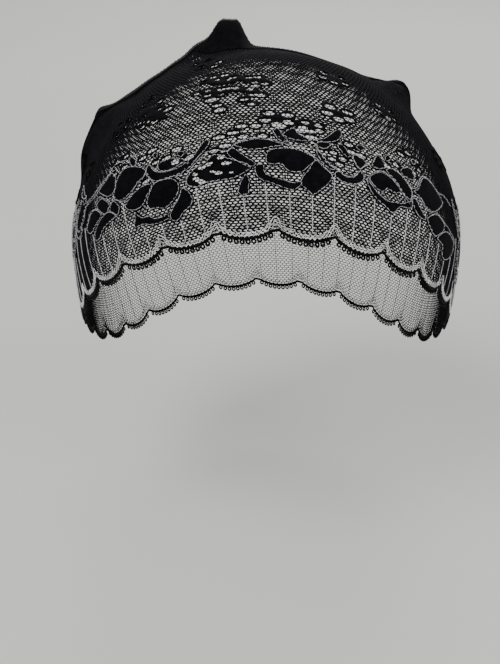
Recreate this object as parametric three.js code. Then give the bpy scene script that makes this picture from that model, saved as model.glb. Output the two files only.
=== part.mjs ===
// A stretch lace tube cap in its worn form: a lace band with a scalloped hem, a net crown closed by a
// straight seam from ear to ear, a pinched tip on that seam, and a soft corner at each of its ends.
// Millimetres. +Z is up, the front of the head faces -Y, and the origin is the centre of the head
// at its widest level.
import * as THREE from 'three';
import { mergeVertices } from 'three/addons/utils/BufferGeometryUtils.js';

// Driving dimensions, in millimetres and degrees.

// The head form that stretches the cap, a superellipsoid about the origin.
const head = {
  halfWidth: 78,
  halfDepth: 97,
  rise: 73,
  drop: 130,
  planPower: 2.1,
  risePower: 1.95,
  backFuller: 0.03,
};

// The hem's latitude on the head, by the turn from the front.
const hemLatitude = { middle: -21.5, front: 30, sides: 9.4, napeLift: 9.5 };

// The crown seam leans back from the top of the head and lies a little to the left.
const seamLine = { tilt: 28, centre: -6.2, halfSpan: 48.7, evenShare: 0.15 };

// The cloth is drawn up towards the seam, more on the left than on the right.
const ridge = { height: 2.2, leftMore: 1.7, turn: 14, reach: 9 };

// The pinched tip that stands on the seam.
const tip = { height: 10.8, angle: -9.2, flat: 2.4, fallLeft: 5.5, fallRight: 1.8, crest: 1, across: 5 };

// Soft swellings of the cloth: the two corners of the tube and the slack below the left one.
const swellings = [
  { place: 'left corner', angle: -54.9, height: 4, width: 7.5 },
  { place: 'right corner', angle: 42.5, height: 5.4, width: 7.5 },
  { place: 'left slack', angle: -65.4, height: 4.6, width: 7 },
];

// Gathered folds that run over the seam, by their turn from the front, with how far each one reaches
// down the front and down the rear.
const folds = [
  { turn: -76, halfWidth: 5, height: 1.3, reach: 34, rearReach: 34 },
  { turn: -56, halfWidth: 5, height: 1, reach: 26, rearReach: 30 },
  { turn: -27, halfWidth: 4, height: 0.8, reach: 16, rearReach: 22 },
  { turn: 2, halfWidth: 4, height: 0.8, reach: 16, rearReach: 22 },
  { turn: 58, halfWidth: 4, height: 1.2, reach: 28, rearReach: 26 },
  { turn: 75, halfWidth: 5, height: 1.3, reach: 34, rearReach: 34 },
];

// The lace itself.
const wall = 1.8;
const gap = 0.3;
const bandHeight = 48;
const scallop = { count: 28, depth: 3.4, power: 2.2, cuspTurn: 2.4, middle: 2.4 };
const columnsPerScallop = 5;

// Heights of the band's rows above the hem. A row that is pierced has its open columns in each scallop.
const bandRows = [
  { top: 13, open: [] },
  { top: 26, open: [] },
  { top: 38.2, open: [] },
  { top: 40.2, open: [1, 3] },
  { top: 42.6, open: [] },
  { top: 44.6, open: [2, 4] },
  { top: bandHeight - gap / 2, open: [] },
];

// The crown's rows: even ones up from the band, then these distances from the seam.
const crownEvenRows = 6;
const crownNearSeam = [10, 5.5, 2.4, 0];
const crownColumns = { coarse: 3.75, fine: 2, fineFrom: -26, fineTo: 4 };

const seamStrip = { thickness: 1, clearance: 0.7, endTurn: 86 };
const hemCord = { radius: 1, sides: 6, clearance: 0.5 };

const threadColours = { net: 0x111114, band: 0x141417, cord: 0x0d0d10, seam: 0x0a0a0c };

const degree = Math.PI / 180;
const quarterTurn = Math.PI / 2;
// The length that stands for one radian where a distance on the crown is asked for.
const crownRadius = 75;

function clamp(value, low, high) {
  return Math.min(high, Math.max(low, value));
}

function bell(distance, width) {
  return Math.exp(-0.5 * (distance / width) ** 2);
}

// Distance from the origin to the head form along a unit direction.
function headRadius(direction) {
  const level = Math.hypot(direction.x, direction.y) + 1e-9;
  const halfWidth = head.halfWidth * (1 + (head.backFuller * direction.y) / level);
  const halfHeight = direction.z > 0 ? head.rise : head.drop;
  const plan = Math.abs(direction.x / halfWidth) ** head.planPower
    + Math.abs(direction.y / head.halfDepth) ** head.planPower;
  const sum = plan ** (head.risePower / head.planPower) + Math.abs(direction.z / halfHeight) ** head.risePower;
  return sum ** (-1 / head.risePower);
}

// Direction of the hem at a bearing from the front, positive to the right.
function hemDirection(bearing) {
  const rear = Math.max(0, -Math.cos(bearing)) ** 2;
  const latitude = degree * (hemLatitude.middle + hemLatitude.front * Math.cos(bearing)
    + hemLatitude.sides * Math.cos(2 * bearing) + hemLatitude.napeLift * rear);
  return new THREE.Vector3(
    Math.sin(bearing) * Math.cos(latitude),
    -Math.cos(bearing) * Math.cos(latitude),
    Math.sin(latitude),
  );
}

// The hem's length, measured round from the back, turns bearings into even turns of the cloth.
const hemSteps = 1440;
const hemLengths = [0];
for (let step = 1; step <= hemSteps; step += 1) {
  const ends = [step - 1, step].map((count) => {
    const direction = hemDirection(-Math.PI + (2 * Math.PI * count) / hemSteps);
    return direction.multiplyScalar(headRadius(direction));
  });
  hemLengths.push(hemLengths[step - 1] + ends[0].distanceTo(ends[1]));
}
const hemLength = hemLengths[hemSteps];

// The bearing where the cloth has made this turn. A turn is an even share of the hem's length.
function bearingOf(turn) {
  const wanted = ((turn + Math.PI) / (2 * Math.PI)) * hemLength;
  const bounded = clamp(wanted, 0, hemLength);
  let low = 0;
  let high = hemSteps;
  while (high - low > 1) {
    const middle = Math.floor((low + high) / 2);
    if (hemLengths[middle] <= bounded) low = middle;
    else high = middle;
  }
  const part = (bounded - hemLengths[low]) / (hemLengths[high] - hemLengths[low]);
  return -Math.PI + (2 * Math.PI * (low + part)) / hemSteps;
}

// The rear half of the tube mirrors the front half, so that both meet on the seam.
function mirroredTurn(turn) {
  if (Math.abs(turn) <= quarterTurn) return turn;
  return Math.sign(turn) * Math.PI - turn;
}

// Angle along the seam where the rib of this turn ends.
function seamAngle(turn) {
  const half = mirroredTurn(turn);
  const share = (1 - seamLine.evenShare) * Math.sin(half) + (seamLine.evenShare * half) / quarterTurn;
  return degree * (seamLine.centre + seamLine.halfSpan * share);
}

function seamDirection(angle) {
  const lean = seamLine.tilt * degree;
  return new THREE.Vector3(
    Math.sin(angle),
    Math.cos(angle) * Math.sin(lean),
    Math.cos(angle) * Math.cos(lean),
  );
}

function betweenDirections(from, to, share) {
  const angle = from.angleTo(to);
  const start = from.clone().multiplyScalar(Math.sin((1 - share) * angle));
  const end = to.clone().multiplyScalar(Math.sin(share * angle));
  return start.add(end).divideScalar(Math.sin(angle));
}

// How far the cloth stands off the head form: the ridge, the swellings and the folds.
function clothLift(direction, turn, angle, fromSeam) {
  let lift = (ridge.height - ridge.leftMore * Math.tanh(angle / (ridge.turn * degree)))
    * Math.exp(-fromSeam / ridge.reach);
  for (const swelling of swellings) {
    const away = crownRadius * direction.angleTo(seamDirection(swelling.angle * degree));
    lift += swelling.height * bell(away, swelling.width);
  }
  for (const fold of folds) {
    const aside = mirroredTurn(turn) / degree - fold.turn;
    const reach = Math.abs(turn) <= quarterTurn ? fold.reach : fold.rearReach;
    lift += fold.height * bell(aside, fold.halfWidth) * Math.exp(-fromSeam / reach);
  }
  return lift;
}

function tipLift(angle, fromSeam) {
  const along = crownRadius * (angle - tip.angle * degree);
  const fall = along < 0 ? tip.fallLeft : tip.fallRight;
  const flank = bell(Math.max(Math.abs(along) - tip.flat, 0), fall);
  return tip.height * flank * bell(Math.max(fromSeam - tip.crest, 0), tip.across);
}

// A point on the cloth at a share of its rib, 0 at the hem and 1 at the seam. The inner face leaves
// the tip filled, because the pinched cloth is folded together there.
function clothPoint(turn, share, offset, inside = false) {
  const angle = seamAngle(turn);
  const top = seamDirection(angle);
  const direction = betweenDirections(hemDirection(bearingOf(turn)), top, share);
  const fromSeam = crownRadius * direction.angleTo(top);
  let radius = headRadius(direction) + clothLift(direction, turn, angle, fromSeam) + offset;
  if (!inside) radius += tipLift(angle, fromSeam);
  return direction.multiplyScalar(radius);
}

// The rib of one turn: its length, and the share of it that lies at a height above the hem.
const ribSteps = 80;
function ribOf(turn) {
  const lengths = [0];
  let last = clothPoint(turn, 0, 0, true);
  for (let step = 1; step <= ribSteps; step += 1) {
    const next = clothPoint(turn, step / ribSteps, 0, true);
    lengths.push(lengths[step - 1] + last.distanceTo(next));
    last = next;
  }
  const length = lengths[ribSteps];
  const shareAt = (height) => {
    if (height <= 0) return height / (lengths[1] * ribSteps);
    let step = 1;
    while (step < ribSteps && lengths[step] < height) step += 1;
    const part = (height - lengths[step - 1]) / (lengths[step] - lengths[step - 1]);
    return (step - 1 + part) / ribSteps;
  };
  return { length, shareAt };
}

// Height of the scalloped edge above the hem line.
function scallopEdge(turn) {
  const count = ((turn - scallop.cuspTurn * degree) / (2 * Math.PI)) * scallop.count;
  const across = 2 * (count - Math.floor(count)) - 1;
  return scallop.middle + scallop.depth * (Math.abs(across) ** scallop.power - 0.5);
}

// Collects four-sided faces and makes one closed geometry of them.
class FaceList {
  constructor() {
    this.positions = [];
  }

  add(...corners) {
    for (let corner = 1; corner + 1 < corners.length; corner += 1) {
      for (const point of [corners[0], corners[corner], corners[corner + 1]]) {
        this.positions.push(point.x, point.y, point.z);
      }
    }
  }

  toGeometry() {
    const soup = new THREE.BufferGeometry();
    soup.setAttribute('position', new THREE.Float32BufferAttribute(this.positions, 3));
    return mergeVertices(soup, 1e-4);
  }
}

// A wall of cloth on a grid of columns and rows. The columns go once round, and cells may be open.
function clothWall(outer, inner, isOpen, openTop) {
  const faces = new FaceList();
  const columns = outer.length;
  const rows = outer[0].length - 1;
  const open = (column, row) => {
    if (row < 0) return true;
    if (row >= rows) return openTop;
    return isOpen((column + columns) % columns, row);
  };
  for (let column = 0; column < columns; column += 1) {
    const next = (column + 1) % columns;
    for (let row = 0; row < rows; row += 1) {
      if (open(column, row)) continue;
      const [a, b, c, d] = [outer[column][row], outer[next][row], outer[next][row + 1], outer[column][row + 1]];
      const [e, f, g, h] = [inner[column][row], inner[next][row], inner[next][row + 1], inner[column][row + 1]];
      faces.add(a, b, c, d);
      faces.add(h, g, f, e);
      if (open(column, row - 1)) faces.add(e, f, b, a);
      if (open(column, row + 1)) faces.add(d, c, g, h);
      if (open(column - 1, row)) faces.add(e, a, d, h);
      if (open(column + 1, row)) faces.add(b, f, g, c);
    }
  }
  return faces.toGeometry();
}

function laceBand() {
  const columns = scallop.count * columnsPerScallop;
  const outer = [];
  const inner = [];
  for (let column = 0; column < columns; column += 1) {
    const turn = scallop.cuspTurn * degree + (2 * Math.PI * column) / columns - Math.PI;
    const rib = ribOf(turn);
    const heights = [scallopEdge(turn), ...bandRows.map((row) => row.top)];
    const shares = heights.map((height) => rib.shareAt(height));
    outer.push(shares.map((share) => clothPoint(turn, share, 0)));
    inner.push(shares.map((share) => clothPoint(turn, share, -wall, true)));
  }
  const pierced = (column, row) => bandRows[row].open.includes(column % columnsPerScallop);
  return clothWall(outer, inner, pierced, true);
}

// Turns of the crown's columns over the front half, closer together at the tip.
function frontTurns() {
  const turns = [-90];
  while (turns.at(-1) < 90 - 1e-6) {
    const last = turns.at(-1);
    const fine = last >= crownColumns.fineFrom - 1e-6 && last < crownColumns.fineTo - 1e-6;
    const limit = last < crownColumns.fineFrom - 1e-6 ? crownColumns.fineFrom : 90;
    const step = fine ? crownColumns.fine : crownColumns.coarse;
    turns.push(Math.min(last + step, limit));
  }
  return turns.map((turn) => turn * degree);
}

// Shares of a rib at the crown's rows, from the band to the seam.
function crownShares(turn) {
  const rib = ribOf(turn);
  const lowest = bandHeight + gap / 2;
  const highest = rib.length - crownNearSeam[0];
  const shares = [];
  for (let row = 0; row < crownEvenRows; row += 1) {
    shares.push(rib.shareAt(lowest + ((highest - lowest) * row) / crownEvenRows));
  }
  for (const distance of crownNearSeam) {
    shares.push(distance === 0 ? 1 : rib.shareAt(rib.length - distance));
  }
  return shares;
}

function crownNet() {
  const front = frontTurns();
  const rear = front.slice(1, -1).map((turn) => Math.PI - turn).reverse();
  const turns = [...front, ...rear].map((turn) => (turn > Math.PI ? turn - 2 * Math.PI : turn));
  const outer = turns.map((turn) => crownShares(turn).map((share) => clothPoint(turn, share, 0)));
  const inner = turns.map((turn) => crownShares(turn).map((share) => clothPoint(turn, share, -wall, true)));
  return clothWall(outer, inner, () => false, false);
}

// The overlocked seam: a strip that straddles the ridge, one row of the crown wide on each side.
function crownSeam() {
  const turns = frontTurns().filter((turn) => Math.abs(turn) <= seamStrip.endTurn * degree);
  const low = seamStrip.clearance;
  const high = seamStrip.clearance + seamStrip.thickness;
  const sections = turns.map((turn) => {
    const rearTurn = turn >= 0 ? Math.PI - turn : -Math.PI - turn;
    const frontShare = crownShares(turn).at(-2);
    const rearShare = crownShares(rearTurn).at(-2);
    return [
      clothPoint(turn, frontShare, low),
      clothPoint(turn, frontShare, high),
      clothPoint(turn, 1, high),
      clothPoint(rearTurn, rearShare, high),
      clothPoint(rearTurn, rearShare, low),
      clothPoint(turn, 1, low),
    ];
  });
  return loft(sections, false);
}

// Joins sections of equal counts, each going round the same way, into one solid or one ring.
function loft(sections, ring) {
  const faces = new FaceList();
  const sides = sections[0].length;
  const last = ring ? sections.length : sections.length - 1;
  for (let index = 0; index < last; index += 1) {
    const here = sections[index];
    const there = sections[(index + 1) % sections.length];
    for (let side = 0; side < sides; side += 1) {
      const next = (side + 1) % sides;
      faces.add(here[side], there[side], there[next], here[next]);
    }
  }
  if (!ring) {
    for (const [section, turned] of [[sections[0], false], [sections.at(-1), true]]) {
      const [a, b, c, d, e, f] = section;
      for (const quad of [[a, b, c, f], [c, d, e, f]]) {
        faces.add(...(turned ? quad.reverse() : quad));
      }
    }
  }
  return faces.toGeometry();
}

// The corded edge below the band, which follows every scallop.
function scallopCord() {
  const columns = scallop.count * columnsPerScallop;
  const sections = [];
  for (let column = 0; column < columns; column += 1) {
    const turn = scallop.cuspTurn * degree + (2 * Math.PI * column) / columns - Math.PI;
    const rib = ribOf(turn);
    const height = scallopEdge(turn) - hemCord.clearance - hemCord.radius;
    const centre = clothPoint(turn, rib.shareAt(height), -wall / 2);
    const above = clothPoint(turn, rib.shareAt(height + 1), -wall / 2);
    const outward = centre.clone().normalize();
    const upward = above.sub(centre).normalize();
    const section = [];
    for (let side = 0; side < hemCord.sides; side += 1) {
      const angle = (2 * Math.PI * side) / hemCord.sides;
      section.push(centre.clone()
        .addScaledVector(outward, hemCord.radius * Math.cos(angle))
        .addScaledVector(upward, hemCord.radius * Math.sin(angle)));
    }
    sections.push(section);
  }
  return loft(sections, true);
}

function clothMesh(name, geometry, color, roughness) {
  const material = new THREE.MeshStandardMaterial({ color, roughness, metalness: 0 });
  const mesh = new THREE.Mesh(geometry, material);
  mesh.name = name;
  return mesh;
}

const cap = new THREE.Group();
cap.add(clothMesh('crown_net', crownNet(), threadColours.net, 0.85));
cap.add(clothMesh('lace_band', laceBand(), threadColours.band, 0.8));
cap.add(clothMesh('scallop_cord', scallopCord(), threadColours.cord, 0.75));
cap.add(clothMesh('crown_seam', crownSeam(), threadColours.seam, 0.9));

export default cap;
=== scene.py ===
import math
from collections import namedtuple

import bpy
import numpy as np
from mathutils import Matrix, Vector


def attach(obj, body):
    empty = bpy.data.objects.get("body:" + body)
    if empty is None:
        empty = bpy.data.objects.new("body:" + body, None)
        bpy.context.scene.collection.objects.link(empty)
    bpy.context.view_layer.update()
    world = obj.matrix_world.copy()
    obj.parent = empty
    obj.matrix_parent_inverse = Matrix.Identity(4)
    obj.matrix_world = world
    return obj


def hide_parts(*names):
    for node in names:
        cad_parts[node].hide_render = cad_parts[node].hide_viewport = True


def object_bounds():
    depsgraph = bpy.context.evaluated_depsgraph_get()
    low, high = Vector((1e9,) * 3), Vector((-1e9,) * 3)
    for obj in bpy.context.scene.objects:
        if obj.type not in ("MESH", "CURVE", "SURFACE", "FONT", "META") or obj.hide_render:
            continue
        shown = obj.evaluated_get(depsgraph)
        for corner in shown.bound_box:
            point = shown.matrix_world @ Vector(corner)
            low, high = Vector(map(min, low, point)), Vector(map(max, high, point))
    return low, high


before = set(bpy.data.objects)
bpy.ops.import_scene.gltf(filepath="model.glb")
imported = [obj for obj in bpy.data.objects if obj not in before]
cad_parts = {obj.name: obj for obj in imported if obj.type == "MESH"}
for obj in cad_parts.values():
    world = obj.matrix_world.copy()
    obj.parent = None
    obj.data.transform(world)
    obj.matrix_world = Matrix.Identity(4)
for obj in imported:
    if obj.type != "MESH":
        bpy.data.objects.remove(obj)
solid_bounds = [list(corner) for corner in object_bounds()]

bl_info = {
    "name": "Lace tube cap",
    "version": (1, 0, 0),
    "blender": (4, 5, 0),
    "location": "View3D > Sidebar > Lace cap",
    "description": "Dresses the solids of a lace tube cap with net, petals, threads and stitches",
    "category": "Add Mesh",
}

MM = 0.001
DEGREE = math.pi / 180

# The worn form of the cap, in millimetres and degrees, as in the part's source. The tip is a little finer.
HEAD = dict(
    half_width=78, half_depth=97, rise=73, drop=130,
    plan_power=2.1, rise_power=1.95, back_fuller=0.03)
HEM = dict(middle=-21.5, front=30, sides=9.4, nape_lift=9.5)
SEAM = dict(tilt=28, centre=-6.2, half_span=48.7, even_share=0.15)
RIDGE = dict(height=2.2, left_more=1.7, turn=14, reach=9)
TIP = dict(height=11.4, angle=-9.5, flat=1.9, fall_left=4, fall_right=2, crest=1, across=5)

# The dressed crown lies a little lower than the solids, because its threads stand on it.
CROWN_SETTLE = 0.8

Swelling = namedtuple("Swelling", "angle height width")
SWELLINGS = (
    Swelling(angle=-54.9, height=4, width=7.5),
    Swelling(angle=42.5, height=5.4, width=7.5),
    Swelling(angle=-65.4, height=4.6, width=7),
)

# Small dents and rises along the seam, beside the tip and the two corners.
DENTS = (
    Swelling(angle=-72, height=-0.5, width=7),
    Swelling(angle=-60, height=-1, width=6),
    Swelling(angle=-46, height=-1.6, width=5),
    Swelling(angle=-33, height=-0.5, width=7),
    Swelling(angle=-20, height=3.7, width=4),
    Swelling(angle=-15, height=1.9, width=4),
    Swelling(angle=-4, height=-0.7, width=5),
    Swelling(angle=20, height=-1, width=9),
    Swelling(angle=35, height=-2.2, width=5),
    Swelling(angle=43, height=1, width=5),
    Swelling(angle=50, height=-2.4, width=5),
    Swelling(angle=60, height=-2, width=7),
)

Fold = namedtuple("Fold", "turn half_width height reach rear_reach")
FOLDS = (
    Fold(-76, 5, 1.3, 34, 34),
    Fold(-56, 5, 1, 26, 30),
    Fold(-27, 4, 0.8, 16, 22),
    Fold(2, 4, 0.8, 16, 22),
    Fold(58, 4, 1.2, 28, 26),
    Fold(75, 5, 1.3, 34, 34),
)

CROWN_RADIUS = 75
BAND_HEIGHT = 48
SCALLOP = dict(count=28, depth=3.4, power=2.2, cusp_turn=2.4, middle=2.4)


def bell(distance, width):
    return np.exp(-0.5 * (distance / width) ** 2)


def angle_between(first, second):
    return np.arccos(np.clip((first * second).sum(-1), -1, 1))


def head_radius(direction):
    """Distance from the origin to the head form along unit directions."""
    x, y, z = np.moveaxis(direction, -1, 0)
    level = np.hypot(x, y) + 1e-9
    half_width = HEAD["half_width"] * (1 + HEAD["back_fuller"] * y / level)
    half_height = np.where(z > 0, HEAD["rise"], HEAD["drop"])
    plan = np.abs(x / half_width) ** HEAD["plan_power"] + np.abs(y / HEAD["half_depth"]) ** HEAD["plan_power"]
    power = HEAD["rise_power"]
    return (plan ** (power / HEAD["plan_power"]) + np.abs(z / half_height) ** power) ** (-1 / power)


def hem_direction(bearing):
    rear = np.maximum(0, -np.cos(bearing)) ** 2
    latitude = DEGREE * (HEM["middle"] + HEM["front"] * np.cos(bearing)
                         + HEM["sides"] * np.cos(2 * bearing) + HEM["nape_lift"] * rear)
    return np.stack([np.sin(bearing) * np.cos(latitude),
                     -np.cos(bearing) * np.cos(latitude),
                     np.sin(latitude)], -1)


HEM_STEPS = 1440
HEM_BEARINGS = np.linspace(-math.pi, math.pi, HEM_STEPS + 1)
HEM_POINTS = hem_direction(HEM_BEARINGS) * head_radius(hem_direction(HEM_BEARINGS))[:, None]
HEM_LENGTHS = np.concatenate([[0], np.cumsum(np.linalg.norm(np.diff(HEM_POINTS, axis=0), axis=1))])
HEM_LENGTH = HEM_LENGTHS[-1]


def bearing_of(turn):
    """The bearing where the cloth has made this turn. A turn is an even share of the hem's length."""
    return np.interp((turn + math.pi) / (2 * math.pi) * HEM_LENGTH, HEM_LENGTHS, HEM_BEARINGS)


def wrapped(turn):
    return (turn + math.pi) % (2 * math.pi) - math.pi


def mirrored_turn(turn):
    return np.where(np.abs(turn) <= math.pi / 2, turn, np.sign(turn) * math.pi - turn)


def seam_angle(turn):
    half = mirrored_turn(turn)
    even = SEAM["even_share"]
    share = (1 - even) * np.sin(half) + even * half / (math.pi / 2)
    return DEGREE * (SEAM["centre"] + SEAM["half_span"] * share)


def seam_direction(angle):
    lean = SEAM["tilt"] * DEGREE
    return np.stack([np.sin(angle), np.cos(angle) * math.sin(lean), np.cos(angle) * math.cos(lean)], -1)


def cloth_lift(direction, turn, angle, from_seam):
    """How far the cloth stands off the head form: the ridge, the swellings and the folds."""
    lift = RIDGE["height"] - RIDGE["left_more"] * np.tanh(angle / (RIDGE["turn"] * DEGREE))
    lift = lift * np.exp(-from_seam / RIDGE["reach"])
    lift = lift - CROWN_SETTLE * np.maximum(direction[..., 2], 0) ** 2
    for swelling in SWELLINGS + DENTS:
        away = CROWN_RADIUS * angle_between(direction, seam_direction(np.array(swelling.angle * DEGREE)))
        lift = lift + swelling.height * bell(away, swelling.width)
    for fold in FOLDS:
        reach = np.where(np.abs(turn) <= math.pi / 2, fold.reach, fold.rear_reach)
        aside = mirrored_turn(turn) / DEGREE - fold.turn
        lift = lift + fold.height * bell(aside, fold.half_width) * np.exp(-from_seam / reach)
    return lift


def tip_lift(angle, from_seam):
    along = CROWN_RADIUS * (angle - TIP["angle"] * DEGREE)
    fall = np.where(along < 0, TIP["fall_left"], TIP["fall_right"])
    flank = bell(np.maximum(np.abs(along) - TIP["flat"], 0), fall)
    return TIP["height"] * flank * bell(np.maximum(from_seam - TIP["crest"], 0), TIP["across"])


def cloth_point(turn, share, offset, inside=False):
    """Points on the cloth in millimetres, at shares of their ribs: 0 at the hem and 1 at the seam."""
    angle = seam_angle(turn)
    top = seam_direction(angle)
    low = hem_direction(bearing_of(turn))
    whole = angle_between(low, top)
    direction = np.sin((1 - share) * whole)[..., None] * low + np.sin(share * whole)[..., None] * top
    direction = direction / np.sin(whole)[..., None]
    from_seam = CROWN_RADIUS * angle_between(direction, top)
    radius = head_radius(direction) + cloth_lift(direction, turn, angle, from_seam) + offset
    if not inside:
        radius = radius + tip_lift(angle, from_seam)
    return direction * radius[..., None]


# Heights above the hem, along each rib, turned into shares of the rib.
RIBS = 720
RIB_TURNS = np.linspace(-math.pi, math.pi, RIBS + 1)
RIB_STEPS = 80
LOWEST, HIGHEST, HEIGHT_STEP = -10.0, 170, 0.5
HEIGHTS = np.arange(LOWEST, HIGHEST, HEIGHT_STEP)


def rib_tables():
    shares = np.linspace(0, 1, RIB_STEPS + 1)
    turns, steps = np.meshgrid(RIB_TURNS, shares, indexing="ij")
    points = cloth_point(turns, steps, 0.0, inside=True)
    lengths = np.cumsum(np.linalg.norm(np.diff(points, axis=1), axis=2), axis=1)
    lengths = np.concatenate([np.zeros((len(RIB_TURNS), 1)), lengths], axis=1)
    table = np.empty((len(RIB_TURNS), len(HEIGHTS)))
    below = HEIGHTS < 0
    for index, row in enumerate(lengths):
        table[index] = np.interp(HEIGHTS, row, shares)
        table[index, below] = HEIGHTS[below] / (row[1] * RIB_STEPS)
    return lengths[:, -1], table


RIB_LENGTHS, SHARE_TABLE = rib_tables()


def rib_length(turn):
    return np.interp(wrapped(turn), RIB_TURNS, RIB_LENGTHS)


def share_at(turn, height):
    across = (wrapped(turn) + math.pi) / (2 * math.pi) * (len(RIB_TURNS) - 1)
    along = np.clip((height - LOWEST) / HEIGHT_STEP, 0, len(HEIGHTS) - 1.001)
    i = np.clip(across.astype(int), 0, len(RIB_TURNS) - 2)
    j = along.astype(int)
    a, b = across - i, along - j
    low = SHARE_TABLE[i, j] * (1 - a) + SHARE_TABLE[i + 1, j] * a
    high = SHARE_TABLE[i, j + 1] * (1 - a) + SHARE_TABLE[i + 1, j + 1] * a
    return low * (1 - b) + high * b


def on_cloth(turn, height, offset):
    """Points in metres, at turns from the front, heights above the hem and offsets out from the cloth."""
    turn, height, offset = np.broadcast_arrays(turn, height, offset)
    return MM * cloth_point(wrapped(turn), share_at(turn, height), offset)


def turn_at(along):
    """The turn that lies this far along the hem from the front, in millimetres."""
    return np.asarray(along) / HEM_LENGTH * 2 * math.pi


def on_flat(along, height, offset):
    """Points in metres, at millimetres along the hem, above it, and out from the cloth."""
    return on_cloth(turn_at(along), height, offset)


def scallop_edge(turn):
    """Height of the scalloped edge above the hem line."""
    count = (turn - SCALLOP["cusp_turn"] * DEGREE) / (2 * math.pi) * SCALLOP["count"]
    across = 2 * (count - np.floor(count)) - 1
    return SCALLOP["middle"] + SCALLOP["depth"] * (np.abs(across) ** SCALLOP["power"] - 0.5)


# The forms of the lace pattern lie flat on the cloth: millimetres along the hem and above it.
Form = namedtuple("Form", "along height length width angle bend blunt")
Eyelet = namedtuple("Eyelet", "along height length width angle", defaults=(0,))

# Outlines of the dense petals and leaves, as places round each one.
ROSE_PETALS = {
    "top petal": (
        (-6.5, 37.5), (-3, 39), (0, 39.7), (4, 39), (8, 37), (4.5, 36), (1, 35), (-2.5, 35), (-4.5, 36)),
    "left petal": (
        (-6.8, 36), (-4, 32.2), (-0.8, 28.5), (-3, 27.5), (-6.5, 30.5), (-8.7, 33.5), (-8.5, 35)),
    "large petal": (
        (2.5, 29.5), (3, 33), (4.8, 34.8), (8.5, 35.6), (12.5, 35.3), (15.5, 33.7), (17.5, 32),
        (15.3, 28.8), (13.5, 26.5), (11, 25.5), (8.5, 26.2), (7, 28.5), (4, 28.3)),
    "sickle petal": (
        (-1, 27), (0, 28), (1.5, 28), (1.7, 24.6), (4, 23), (8, 21.6), (10.3, 21), (12.7, 22),
        (12.2, 20.2), (10, 18.4), (7, 19), (3, 20.8), (0.6, 21.8), (-0.9, 24)),
    "lower petal": (
        (17.5, 31.5), (19.8, 29.2), (22.5, 26.5), (21.3, 23), (19, 20), (16.3, 17.4), (14.6, 18.8),
        (12.6, 21), (13.3, 24), (15, 26.8)),
    "bud": (
        (-4, 24.2), (-3.2, 21.5), (-3.8, 19), (-3.9, 16.8), (-5.4, 16.3), (-7, 17), (-6.5, 19.5),
        (-5.5, 22)),
    "short leaf": ((5.5, 43.5), (7, 45), (8, 42), (9.6, 38.8), (8.2, 38.6), (6.5, 40)),
    "pointed leaf": (
        (8.5, 42), (10, 44.5), (12, 45.5), (12.6, 43.5), (14.2, 42), (16.6, 40.4), (14, 39.8), (10.8, 40)),
    "great leaf": (
        (-2.4, 27.5), (-4.6, 25), (-8, 23.2), (-12.5, 23), (-16.5, 23), (-18.5, 22.4), (-20.6, 22),
        (-22.6, 23.6), (-22.6, 26.4), (-21, 28.6), (-18.6, 30.4), (-15.6, 31.8), (-13.6, 34),
        (-11.8, 34), (-10, 32.4), (-7, 30.6)),
}
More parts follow.
